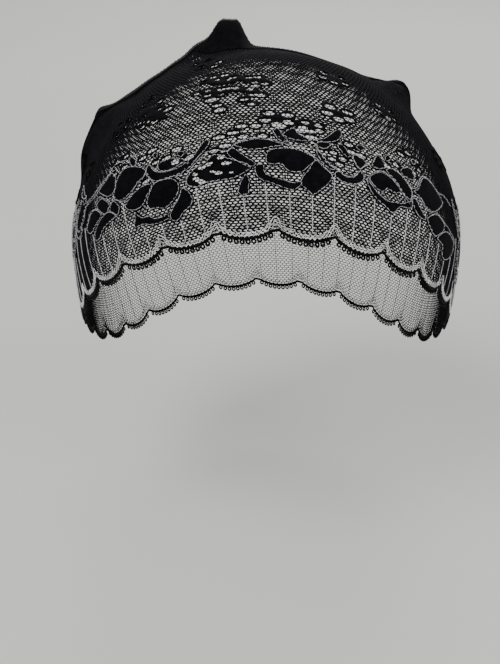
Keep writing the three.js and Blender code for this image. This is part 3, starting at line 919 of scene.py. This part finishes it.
def honeycomb(net):
    """A flat sheet of six-sided cells with inner faces. Every other row stands half a column aside."""
    piece, across, line = zigzag_grid(net)
    mesh = piece.data
    first, second = read_ends(mesh).T

    # Two squares become one cell: the edge between them goes, and half cells at the ends go.
    parity = np.minimum(line[first], line[second]) % 2
    inner = (across[first] == across[second]) & ((across[first] - parity) % 2 == 1)
    inner &= (across[first] > parity) & (across[first] < parity + 2 * net.columns)
    select_elements(mesh, mesh.edges, inner)
    edit_mode(piece, "EDGE")
    bpy.ops.mesh.dissolve_edges(use_verts=False, use_face_split=False)
    object_mode()
    sizes, _, _ = read_faces(mesh)
    select_elements(mesh, mesh.polygons, sizes == 4)
    edit_mode(piece, "FACE")
    bpy.ops.mesh.delete(type="FACE")
    bpy.ops.mesh.select_all(action="SELECT")
    bpy.ops.mesh.inset(thickness=0.2, use_individual=True, use_boundary=True)
    object_mode()
    return piece


def cell_openness(net, left, row):
    """How far cells are open across and upwards, as shares that leave strands of an even width."""

    def surface(half_columns, lines):
        turn = column_turn(net.first + half_columns / 2)
        return on_cloth(turn, net.height_of(turn, lines), 0.0) / MM

    wide = np.linalg.norm(surface(left + 2, row + 0.5) - surface(left, row + 0.5), axis=1)
    tall = np.linalg.norm(surface(left + 1, row + 1) - surface(left + 1, row), axis=1)
    turn = column_turn(net.first + (left + 1) / 2)
    rear = np.clip((np.abs(wrapped(turn)) / DEGREE - REAR["after"]) / REAR["over"], 0, 1)
    thread = (1 - REAR["thinner"] * rear) * (1 + net.thicker * (row + 0.5) / net.rows)
    return (np.clip(1 - thread * net.strand[0] / wide, *OPEN_WIDE),
            np.clip(1 - thread * net.strand[1] / tall, *OPEN_TALL))


def lace_covers(net, left, row):
    """Whether dense cloth or an eyelet takes the place of each cell."""
    turn = column_turn(net.first + (left + 1) / 2)
    along = wrapped(turn) / (2 * math.pi) * HEM_LENGTH
    height = net.height_of(turn, row + 0.5)
    return (dense_field(along, height) > UNDER_CLOTH) | (hole_field(along, height, *BESIDE_EYELET) > 0)


def open_cells(piece, net):
    """Places the strands' edges, opens the holes, and takes away the cells that the lace covers."""
    mesh = piece.data
    sizes, starts, corners = read_faces(mesh)
    points = read_points(mesh)
    holes = np.flatnonzero(sizes == 6)
    rings = corners[starts[holes][:, None] + np.arange(6)]
    centres = points[rings].mean(1)
    row = np.rint(centres[:, 1] / ROW_PITCH - 0.5).astype(int)
    left = np.rint(centres[:, 0] / HALF_COLUMN).astype(int) - 1
    open_wide, open_tall = cell_openness(net, left, row)

    away = points[rings] - centres[:, None]
    away[..., 0] *= (open_wide * HALF_COLUMN / np.abs(away[..., 0]).max(1))[:, None]
    away[..., 1] *= (open_tall * (0.5 + ZIGZAG) * ROW_PITCH / np.abs(away[..., 1]).max(1))[:, None]
    points[:, 2] = STRAND_LIFT
    points[rings] = centres[:, None] + away
    points[rings, 2] = 0
    write_points(mesh, points)

    cell_of = np.full(len(points), -1)
    cell_of[rings] = np.arange(len(rings))[:, None]
    face_cell = np.maximum.reduceat(cell_of[corners], starts)
    gone = lace_covers(net, left, row)[face_cell] | (sizes == 6)
    select_elements(mesh, mesh.polygons, gone)
    edit_mode(piece, "FACE")
    bpy.ops.mesh.delete(type="FACE")
    object_mode()


def raised_rim(mesh):
    """Edges on the outline of an open mesh whose ends both lie on the raised side."""
    edges = np.empty(len(mesh.loops), int)
    mesh.loops.foreach_get("edge_index", edges)
    single = np.bincount(edges, minlength=len(mesh.edges)) == 1
    raised = read_points(mesh)[:, 2] > STRAND_LIFT / 2
    return single & raised[read_ends(mesh)].all(1)


def close_strands(piece):
    """Adds the inner side of the strands: the same sheet, mirrored. Both meet in the holes."""
    mesh = piece.data
    select_elements(mesh, mesh.edges, raised_rim(mesh))
    edit_mode(piece, "EDGE")
    bpy.ops.mesh.extrude_edges_move(TRANSFORM_OT_translate={"value": (0, 0, -STRAND_LIFT)})
    bpy.ops.mesh.select_all(action="SELECT")
    bpy.ops.mesh.duplicate()
    bpy.ops.transform.resize(value=(1, 1, -1), center_override=(0, 0, 0))
    bpy.ops.mesh.flip_normals()
    bpy.ops.mesh.select_all(action="SELECT")
    bpy.ops.mesh.remove_doubles(threshold=1e-4)
    object_mode()


def net_sheet(name, net, material, node):
    """One sector of net, laid on the cloth."""
    piece = honeycomb(net)
    open_cells(piece, net)
    close_strands(piece)
    points = read_points(piece.data)
    turn = column_turn(net.first + points[:, 0] / COLUMN)
    height = net.height_of(turn, np.clip(points[:, 1] / ROW_PITCH, 0, net.rows))
    write_points(piece.data, on_cloth(turn, height, NET_OFFSET + points[:, 2]))
    return finish_piece(piece, name, material, (node,))


# The dense cloth: petals, leaves, eyelet borders and gathers, cut out of a flat sheet along their outlines.

FINE = 0.67
PETAL_LOW = 3
PETAL_TOP = 158

# The sheet's outer side is puffed from its edge inwards, and its inner side lies flat under the net.
PUFF = dict(edge=0.12, more=0.33, over=1.6)
INNER_OFFSET = -0.2

# A cut keeps this share of a cell's side away from its corners.
LEAST_PART = 0.04


def between(first, second, part):
    """The value at this part of the way from the first to the second."""
    return first + (second - first) * part


def cut_outline(values, alongs, heights):
    """Vertices and faces of the part of a flat grid where the values are above zero."""
    columns, rows = values.shape
    inside = values > 0
    vertices = []
    known = {}

    def grid_vertex(i, j):
        key = (i, j)
        if key not in known:
            known[key] = len(vertices)
            vertices.append((alongs[i], heights[j]))
        return known[key]

    def edge_vertex(i, j, k, m):
        key = (i, j, k, m) if (i, j) < (k, m) else (k, m, i, j)
        if key not in known:
            first, second = values[i, j], values[k, m]
            part = min(max(first / (first - second), LEAST_PART), 1 - LEAST_PART)
            known[key] = len(vertices)
            vertices.append((between(alongs[i], alongs[k], part), between(heights[j], heights[m], part)))
        return known[key]

    faces = []
    touched = inside[:-1, :-1] | inside[1:, :-1] | inside[1:, 1:] | inside[:-1, 1:]
    for i, j in np.argwhere(touched):
        ring = ((i, j), (i + 1, j), (i + 1, j + 1), (i, j + 1))
        face = []
        for index, here in enumerate(ring):
            there = ring[(index + 1) % 4]
            if inside[here]:
                face.append(grid_vertex(*here))
            if inside[here] != inside[there]:
                face.append(edge_vertex(*here, *there))
        if len(face) > 2:
            faces.append(face)
    return vertices, faces


def dense_sheet(name, low, high, material):
    """The dense cloth between two places along the hem, puffed a little in the middle of each form."""
    alongs = np.arange(low, high + FINE / 2, FINE)
    heights = np.arange(PETAL_LOW, PETAL_TOP, FINE)
    along, height = np.meshgrid(alongs, heights, indexing="ij")
    top = rib_length(turn_at(along))
    values = np.minimum(dense_field(along, height), top - height + 0.01)
    vertices, faces = cut_outline(values, alongs, heights)
    mesh = bpy.data.meshes.new(name)
    mesh.from_pydata([(x, y, 0) for x, y in vertices], [], faces)
    piece = add_object(name, mesh)
    thicken(piece, 1)
    points = read_points(mesh)
    depth = dense_field(points[:, 0], points[:, 1])
    puff = PUFF["edge"] + PUFF["more"] * np.clip(depth / PUFF["over"], 0, 1)
    write_points(mesh, on_flat(points[:, 0], points[:, 1], np.where(points[:, 2] > 0, puff, INNER_OFFSET)))
    return finish_piece(piece, name, material)


# Threads.

# The outline threads: how uneven they are, their steps, the share by which every other step is thinner,
# and how far out from the cloth they lie, round petals and elsewhere.
OUTLINE_UNEVEN = 0.14
THREAD_STEP = 0.6
THREAD_TWIST = 0.45
PETAL_THREAD_OFFSET = 0.55
LINE_THREAD_OFFSET = 0.3

# Now and then, where a slow wave is this high, a thread dips into the cloth.
THREAD_UNDER = -0.1
DIP_WAVE = 1.9
DIP_ABOVE = 0.65

# The stripes: where they start, the highest that they reach, and the shortest, in steps.
STRIPE = dict(low=3.2, high=27, step=0.6, shortest=12, offset=0.15, uneven=0.05, twist=0.3)
STRIPE_STOPS = dict(above=9, at=-0.2)

# The edge threads: rise above the edge, step and swing. They rise further at the cusps, by a share.
EDGE_PATHS = ((0.5, 0.8, 0.4), (1, 0.7, 0.45), (1.6, 0.9, 0.4))
CUSP_RISE = 1.8
EDGE_OFFSET = 0.15


def wobble(count, size, seed):
    """A small unevenness, the same at each run."""
    steps = np.arange(count)
    return size * (np.sin(steps * 2.1 + seed) * 0.6 + np.sin(steps * 3.7 + 2 * seed) * 0.4)


def even_steps(line, spacing, closed):
    """The same line with its places at an even spacing."""
    if closed:
        line = np.concatenate([line, line[:1]])
    lengths = np.concatenate([[0], np.cumsum(np.linalg.norm(np.diff(line, axis=0), axis=1))])
    count = max(int(lengths[-1] / spacing), 6)
    steps = np.linspace(0, lengths[-1], count, endpoint=not closed)
    return np.stack([np.interp(steps, lengths, line[:, 0]), np.interp(steps, lengths, line[:, 1])], -1)


def laid_thread(line, closed, offset):
    """A thread along a flat line, a little uneven, that dips into the cloth now and then."""
    places = even_steps(line, THREAD_STEP, closed)
    alongs = places[:, 0] + wobble(len(places), OUTLINE_UNEVEN, line[0, 0])
    heights = places[:, 1] + wobble(len(places), OUTLINE_UNEVEN, line[0, 1] + 2)
    under = np.sin(np.arange(len(places)) * DIP_WAVE + line[0, 0]) > DIP_ABOVE
    return on_flat(alongs, heights, np.where(under, THREAD_UNDER, offset))


def stripe_path(index):
    """A stripe from the edge up to the first petal, or None where it would be short."""
    along = (START_ALONG + index * STRIPE_EVERY * COLUMN + HEM_LENGTH / 2) % HEM_LENGTH - HEM_LENGTH / 2
    heights = np.arange(STRIPE["low"], STRIPE["high"], STRIPE["step"])
    dense = dense_field(np.full(len(heights), along), heights) > STRIPE_STOPS["at"]
    dense &= heights > STRIPE_STOPS["above"]
    top = int(np.argmax(dense)) if dense.any() else len(heights)
    if top < STRIPE["shortest"]:
        return None
    heights = heights[:top]
    alongs = along + wobble(top, STRIPE["uneven"], index)
    keep = heights > scallop_edge(turn_at(along)) + 1
    return on_flat(alongs[keep], heights[keep], STRIPE["offset"])


def edge_path(rise, step, swing):
    """A zigzag along the scalloped edge all the way round, at a rise above it, higher at the cusps."""
    count = 2 * int(HEM_LENGTH / step / 2)
    turn = np.linspace(-math.pi, math.pi, count, endpoint=False)
    zigzag = swing * (1 - 2 * (np.arange(count) % 2))
    edge = scallop_edge(turn)
    cusp = np.clip((edge - SCALLOP["middle"]) / SCALLOP["depth"] + 0.5, 0, 1)
    height = edge + rise * (1 + CUSP_RISE * cusp ** 2) + zigzag + wobble(count, 0.15, rise)
    return on_cloth(turn, height, EDGE_OFFSET + wobble(count, 0.1, rise))


# The corded edge: its places round the hem, its middle below the edge, and half its height and thickness.
CORD = dict(steps=700, sides=8, height=-0.45, half_height=0.55, offset=-0.5, half_thickness=0.6)

# A small loop: the ring that it starts from, its middle below the edge, and how much it is stretched.
PICOT = dict(steps=10, sides=5, radius=0.5, thread=0.3, drop=-1.6, wider=1.25, taller=1.4, offset=-0.5)

# The seam's tape: its cells, how far it reaches round to each side, and its half width.
TAPE = dict(cells=200, cells_across=8, half_turn=86, half_width=2.4, outer=0.55, inner=0.05)

# The overlock stitches: their number, half the turn that they fill, how far they reach down and their lean.
OVERLOCK = dict(count=190, half_turn=85, reach=2.7, middle=1.4, lean=0.5, offset=0.6, radius=0.2)

# The floor: half its width, how far it is flat and how fast it curves up, in metres.
FLOOR_HALF = 3
FLOOR_FLAT = 1.2
FLOOR_RISE = 0.45
FLOOR_CELLS = 48
FLOOR_CLOUDS = 3
FLOOR_CONTRAST = 0.015

# The lights, which all face the cap: place and size in metres, and power in watts.
Light = namedtuple("Light", "name place size power")
LIGHTS = (
    Light("key_light", (-0.7, -0.9, 1.2), 0.9, 20),
    Light("fill_light", (1.0, -0.7, 0.7), 1.0, 10),
    Light("rear_light", (0.2, 1.2, 0.9), 1.0, 12),
)
WORLD_LIGHT = 0.5

# The camera: its distance in metres, its angles in degrees, and its lens in pixels of the picture's height.
CAMERA = dict(distance=0.56, elevation=18.84, dip=4.106, pan=-0.708, focal_pixels=1364.7, picture_height=664)
SENSOR_HEIGHT = 24


# Sizes and colours that a user may change.


class LaceCapSizes(bpy.types.PropertyGroup):
    """Sizes of the threads of the lace cap."""

    outline_radius: bpy.props.FloatProperty(
        name="Outline thread",
        description="Half the thickness of the grey outline threads, in millimetres",
        default=0.13, min=0.05, max=0.6)
    stripe_radius: bpy.props.FloatProperty(
        name="Stripe thread",
        description="Half the thickness of the upright stripe threads, in millimetres",
        default=0.17, min=0.05, max=0.6)
    stitch_radius: bpy.props.FloatProperty(
        name="Edge stitches",
        description="Half the thickness of the pale stitches over the edge, in millimetres",
        default=0.12, min=0.05, max=0.6)
    scallop_picots: bpy.props.IntProperty(
        name="Picots", description="Number of small loops below each scallop", default=9, min=3, max=20)
    floor_drop: bpy.props.FloatProperty(
        name="Floor drop", description="Distance from the cap's lowest point to the floor",
        default=0.06, min=0, max=0.5, unit="LENGTH")


class LaceCapColours(bpy.types.PropertyGroup):
    """Colours of the lace cap and its stage."""

    net: bpy.props.FloatVectorProperty(
        name="Net", description="Colour of the net's thread", subtype="COLOR", size=3,
        default=(0.006, 0.006, 0.0075), min=0, max=1)
    petals: bpy.props.FloatVectorProperty(
        name="Petals", description="Colour of the dense petals and leaves", subtype="COLOR", size=3,
        default=(0.003, 0.003, 0.004), min=0, max=1)
    outline: bpy.props.FloatVectorProperty(
        name="Outline", description="Colour of the outline threads", subtype="COLOR", size=3,
        default=(0.47, 0.47, 0.49), min=0, max=1)
    stitches: bpy.props.FloatVectorProperty(
        name="Stitches", description="Colour of the pale stitches over the edge", subtype="COLOR", size=3,
        default=(0.85, 0.85, 0.84), min=0, max=1)
    cord: bpy.props.FloatVectorProperty(
        name="Cord", description="Colour of the corded edge and its loops", subtype="COLOR", size=3,
        default=(0.004, 0.004, 0.005), min=0, max=1)
    seam: bpy.props.FloatVectorProperty(
        name="Seam", description="Colour of the overlocked seam", subtype="COLOR", size=3,
        default=(0.005, 0.005, 0.006), min=0, max=1)
    floor: bpy.props.FloatVectorProperty(
        name="Floor", description="Colour of the floor and backdrop", subtype="COLOR", size=3,
        default=(0.62, 0.62, 0.60), min=0, max=1)


class LACECAP_OT_crown_net(bpy.types.Operator):
    """Adds the net of the crown, in three sectors"""

    bl_idname = "lacecap.crown_net"
    bl_label = "Crown net"

    def execute(self, context):
        colour = tuple(context.scene.lace_cap_colours.net)
        material = thread_material("net_thread", colour, 0.35, 0.7, 0.01, 900)
        for place, first, last in SECTORS:
            net = Net(first, last - first, CROWN_ROWS, crown_height, CROWN_STRAND, TOP_THICKER)
            net_sheet(f"crown_net_{place}", net, material, "crown_net")
        return {"FINISHED"}


class LACECAP_OT_lace_band(bpy.types.Operator):
    """Adds the net ground of the lace band, in three sectors"""

    bl_idname = "lacecap.lace_band"
    bl_label = "Lace band"

    def execute(self, context):
        colour = tuple(context.scene.lace_cap_colours.net)
        material = thread_material("band_thread", colour, 0.35, 0.7, 0.01, 900)
        for place, first, last in SECTORS:
            net = Net(first, last - first, BAND_ROWS, band_height, BAND_STRAND, 0)
            net_sheet(f"band_net_{place}", net, material, "lace_band")
        return {"FINISHED"}


class LACECAP_OT_petals(bpy.types.Operator):
    """Adds the dense petals and leaves, the eyelet borders and the gathered cloth"""

    bl_idname = "lacecap.petals"
    bl_label = "Petals"

    def execute(self, context):
        colour = tuple(context.scene.lace_cap_colours.petals)
        material = thread_material("petal_cloth", colour, 0.4, 0.8, 0.01, 700)
        half = HEM_LENGTH / 2
        dense_sheet("petals_front", -half / 2, half / 2, material)
        dense_sheet("petals_right", half / 2, half, material)
        dense_sheet("petals_left", -half, -half / 2, material)
        return {"FINISHED"}


class LACECAP_OT_outline_threads(bpy.types.Operator):
    """Adds the grey threads round the petals and up the stripes"""

    bl_idname = "lacecap.outline_threads"
    bl_label = "Outline threads"

    def execute(self, context):
        sizes = context.scene.lace_cap_sizes
        colour = tuple(context.scene.lace_cap_colours.outline)
        material = thread_material("outline_thread", colour, 0.35, 0.8, 0.2, 1200)
        paths = [laid_thread(ring, True, PETAL_THREAD_OFFSET) for ring in PETALS]
        thread_piece("petal_outlines", paths, sizes.outline_radius, material,
                     closed=True, twist=THREAD_TWIST)
        paths = [laid_thread(line, False, LINE_THREAD_OFFSET) for line in THREADS]
        thread_piece("outline_threads", paths, sizes.outline_radius, material,
                     twist=THREAD_TWIST)
        stripes = [stripe_path(index) for index in range(COLUMNS // STRIPE_EVERY)]
        stripes = [path for path in stripes if path is not None]
        thread_piece("stripe_threads", stripes, sizes.stripe_radius, material,
                     twist=STRIPE["twist"])
        return {"FINISHED"}


class LACECAP_OT_scallop_edge(bpy.types.Operator):
    """Adds the corded edge with its loops, and the grey stitches above it"""

    bl_idname = "lacecap.scallop_edge"
    bl_label = "Scallop edge"

    def execute(self, context):
        sizes = context.scene.lace_cap_sizes
        colours = context.scene.lace_cap_colours
        cord_material = thread_material("cord_thread", tuple(colours.cord), 0.4, 0.6, 0.03, 800)
        pale = thread_material("stitch_thread", tuple(colours.stitches), 0.35, 0.85, 0.2, 1200)
        self.add_cord(cord_material)
        self.add_picots(sizes.scallop_picots, cord_material)
        paths = [edge_path(*row) for row in EDGE_PATHS]
        thread_piece("edge_stitches", paths, sizes.stitch_radius, pale, closed=True)
        return {"FINISHED"}

    def add_cord(self, material):
        """A ring whose section is laid along the scallops."""
        deselect_all()
        bpy.ops.mesh.primitive_torus_add(
            major_segments=CORD["steps"], minor_segments=CORD["sides"], major_radius=1, minor_radius=0.1)
        cord = bpy.context.object
        points = read_points(cord.data)
        bearing = np.arctan2(points[:, 1], points[:, 0])
        outward = (np.hypot(points[:, 0], points[:, 1]) - 1) / 0.1
        height = scallop_edge(bearing) + CORD["height"] + CORD["half_height"] * points[:, 2] / 0.1
        offset = CORD["offset"] + CORD["half_thickness"] * outward
        write_points(cord.data, on_cloth(bearing, height, offset))
        finish_piece(cord, "edge_cord", material, ("scallop_cord",))

    def add_picots(self, each, material):
        """Small thread loops below the cord, one modelled and the others copied. Each cusp has none."""
        deselect_all()
        bpy.ops.mesh.primitive_torus_add(
            major_segments=PICOT["steps"], minor_segments=PICOT["sides"],
            major_radius=PICOT["radius"], minor_radius=PICOT["thread"])
        loop = bpy.context.object
        shape = read_points(loop.data)
        _, _, corners = read_faces(loop.data)
        places = np.arange(SCALLOP["count"] * (each + 1))
        places = places[places % (each + 1) > 0] / (each + 1)
        turns = SCALLOP["cusp_turn"] * DEGREE + 2 * math.pi * places / SCALLOP["count"]
        turns = turns[:, None]
        points = on_cloth(
            turns + turn_at(shape[:, 0] * PICOT["wider"]),
            scallop_edge(turns) + PICOT["drop"] + shape[:, 1] * PICOT["taller"],
            PICOT["offset"] + shape[:, 2])
        firsts = np.arange(len(turns)) * len(shape)
        faces = (corners.reshape(-1, 4) + firsts[:, None, None]).reshape(-1, 4)
        mesh = bpy.data.meshes.new("picot_loops")
        mesh.from_pydata(points.reshape(-1, 3).tolist(), [], faces.tolist())
        old = loop.data
        loop.data = mesh
        bpy.data.meshes.remove(old)
        finish_piece(loop, "picot_loops", material)


class LACECAP_OT_crown_seam(bpy.types.Operator):
    """Adds the overlocked seam over the crown"""

    bl_idname = "lacecap.crown_seam"
    bl_label = "Crown seam"

    def execute(self, context):
        colour = tuple(context.scene.lace_cap_colours.seam)
        material = thread_material("seam_thread", colour, 0.45, 0.5, 0.03, 900, gloss=0.25)
        self.add_tape(material)
        self.add_stitches(material)
        return {"FINISHED"}

    def add_tape(self, material):
        """A strip of doubled cloth that straddles the ridge."""
        deselect_all()
        bpy.ops.mesh.primitive_grid_add(
            x_subdivisions=TAPE["cells"], y_subdivisions=TAPE["cells_across"], size=2)
        tape = bpy.context.object
        thicken(tape, 0.5)
        points = read_points(tape.data)
        half_turn = points[:, 0] * TAPE["half_turn"] * DEGREE
        rear_turn = np.sign(half_turn + 1e-12) * math.pi - half_turn
        turn = np.where(points[:, 1] > 0, rear_turn, half_turn)
        height = rib_length(turn) - np.abs(points[:, 1]) * TAPE["half_width"]
        offset = np.where(points[:, 2] > 0, TAPE["outer"], TAPE["inner"])
        write_points(tape.data, on_cloth(turn, height, offset))
        finish_piece(tape, "seam_tape", material, ("crown_seam",))

    def add_stitches(self, material):
        """Overlock stitches, each one over the ridge from front to rear."""
        reach, middle = OVERLOCK["reach"], OVERLOCK["middle"]
        depths = np.array([reach, middle, 0, middle, reach])
        half_turn = OVERLOCK["half_turn"]
        paths = []
        for index, degrees in enumerate(np.linspace(-half_turn, half_turn, OVERLOCK["count"])):
            turn = degrees * DEGREE
            rear = math.copysign(math.pi, turn) - turn
            top = turn + turn_at(OVERLOCK["lean"]) * (index % 2)
            turns = np.array([turn, turn, top, rear, rear])
            paths.append(on_cloth(turns, rib_length(turns) - depths, OVERLOCK["offset"]))
        thread_piece("overlock_stitches", paths, OVERLOCK["radius"], material)


class LACECAP_OT_stage(bpy.types.Operator):
    """Adds the floor, the lights and the camera"""

    bl_idname = "lacecap.stage"
    bl_label = "Stage"

    def execute(self, context):
        colours = context.scene.lace_cap_colours
        self.add_floor(context.scene.lace_cap_sizes.floor_drop, tuple(colours.floor))
        self.add_lights()
        self.add_camera()
        return {"FINISHED"}

    def add_floor(self, drop, colour):
        """A sheet of paper that lies flat under the cap and curves up far away from it."""
        deselect_all()
        bpy.ops.mesh.primitive_grid_add(x_subdivisions=FLOOR_CELLS, y_subdivisions=FLOOR_CELLS, size=2)
        floor = bpy.context.object
        mesh = floor.data
        points = read_points(mesh)
        points[:, :2] *= FLOOR_HALF
        away = np.hypot(points[:, 0], points[:, 1])
        points[:, 2] = solid_bounds[0][2] - drop + FLOOR_RISE * np.maximum(away - FLOOR_FLAT, 0) ** 2
        write_points(mesh, points)
        mesh.polygons.foreach_set("use_smooth", np.ones(len(mesh.polygons), bool))
        material, shader = new_material("floor_paper", colour, 0.9)
        dark = tuple(value * (1 - FLOOR_CONTRAST) for value in colour)
        light = tuple(min(value * (1 + FLOOR_CONTRAST), 1) for value in colour)
        vary_colour(material, shader, object_coordinates(material), FLOOR_CLOUDS, dark, light)
        mesh.materials.append(material)
        floor.name = "floor"

    def add_lights(self):
        world = bpy.data.worlds.new("studio")
        world.use_nodes = True
        background = world.node_tree.nodes["Background"]
        background.inputs["Color"].default_value = (1, 1, 1, 1)
        background.inputs["Strength"].default_value = WORLD_LIGHT
        bpy.context.scene.world = world
        for name, place, size, power in LIGHTS:
            light = bpy.data.lights.new(name, "AREA")
            light.shape = "SQUARE"
            light.size = size
            light.energy = power
            lamp = bpy.data.objects.new(name, light)
            lamp.location = place
            lamp.rotation_euler = (-Vector(place)).to_track_quat("-Z", "Y").to_euler()
            bpy.context.scene.collection.objects.link(lamp)

    def add_camera(self):
        """The camera looks along +Y, and is aimed a little below the origin."""
        elevation, dip, pan = (CAMERA[key] * DEGREE for key in ("elevation", "dip", "pan"))
        camera = bpy.data.cameras.new("camera")
        camera.sensor_fit = "VERTICAL"
        camera.sensor_height = SENSOR_HEIGHT
        camera.lens = SENSOR_HEIGHT * CAMERA["focal_pixels"] / CAMERA["picture_height"]
        camera.dof.use_dof = False
        eye = bpy.data.objects.new("camera", camera)
        distance = CAMERA["distance"]
        eye.location = (0, -distance * math.cos(elevation), distance * math.sin(elevation))
        eye.rotation_euler = (math.pi / 2 - elevation - dip, 0, -pan)
        bpy.context.scene.collection.objects.link(eye)
        bpy.context.scene.camera = eye


class LACECAP_PT_panel(bpy.types.Panel):
    """Lists the lace cap's pieces, sizes and colours"""

    bl_idname = "LACECAP_PT_panel"
    bl_label = "Lace cap"
    bl_space_type = "VIEW_3D"
    bl_region_type = "UI"
    bl_category = "Lace cap"

    def draw(self, context):
        layout = self.layout
        for operator in OPERATORS:
            layout.operator(operator.bl_idname)
        for group in (context.scene.lace_cap_sizes, context.scene.lace_cap_colours):
            for name in group.__annotations__:
                layout.prop(group, name)


OPERATORS = (
    LACECAP_OT_crown_net,
    LACECAP_OT_lace_band,
    LACECAP_OT_petals,
    LACECAP_OT_outline_threads,
    LACECAP_OT_scallop_edge,
    LACECAP_OT_crown_seam,
    LACECAP_OT_stage,
)
CLASSES = (LaceCapSizes, LaceCapColours, *OPERATORS, LACECAP_PT_panel)


def register():
    for item in CLASSES:
        bpy.utils.register_class(item)
    bpy.types.Scene.lace_cap_sizes = bpy.props.PointerProperty(type=LaceCapSizes)
    bpy.types.Scene.lace_cap_colours = bpy.props.PointerProperty(type=LaceCapColours)


def unregister():
    del bpy.types.Scene.lace_cap_colours
    del bpy.types.Scene.lace_cap_sizes
    for item in reversed(CLASSES):
        bpy.utils.unregister_class(item)


def main():
    register()
    bpy.ops.lacecap.crown_net()
    bpy.ops.lacecap.lace_band()
    bpy.ops.lacecap.petals()
    bpy.ops.lacecap.outline_threads()
    bpy.ops.lacecap.scallop_edge()
    bpy.ops.lacecap.crown_seam()
    bpy.ops.lacecap.stage()


if __name__ == "__main__":
    main()
